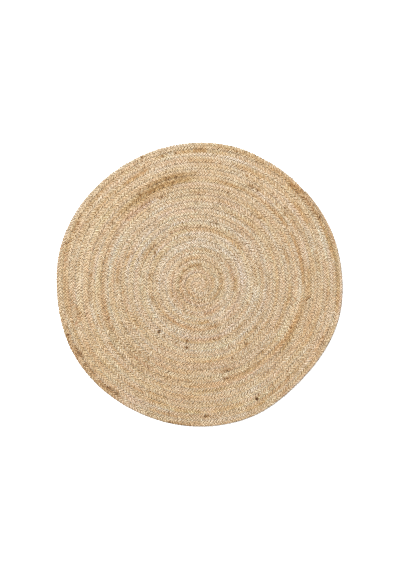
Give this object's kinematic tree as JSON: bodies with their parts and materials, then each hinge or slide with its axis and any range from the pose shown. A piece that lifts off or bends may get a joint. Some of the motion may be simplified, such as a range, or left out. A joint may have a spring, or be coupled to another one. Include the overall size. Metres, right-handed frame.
{
  "type": "round jute rug",
  "caption": "Round flat rug of natural jute: a long flat braid wound into a spiral from the centre and sewn edge to edge.",
  "frame": {"origin": "on the surface that the rug lies on, under the middle of its outline", "axes": "+Z up, through the rug's thickness; seen from above, +X to the right and +Y up, as in the picture"},
  "size_m": [0.9062, 0.898, 0.0092],
  "materials": {
    "jute": "matte natural jute fibre with cream, tan and brown strands"
  },
  "bodies": {
    "root": {"rug": "jute"}
  },
  "joints": []
}
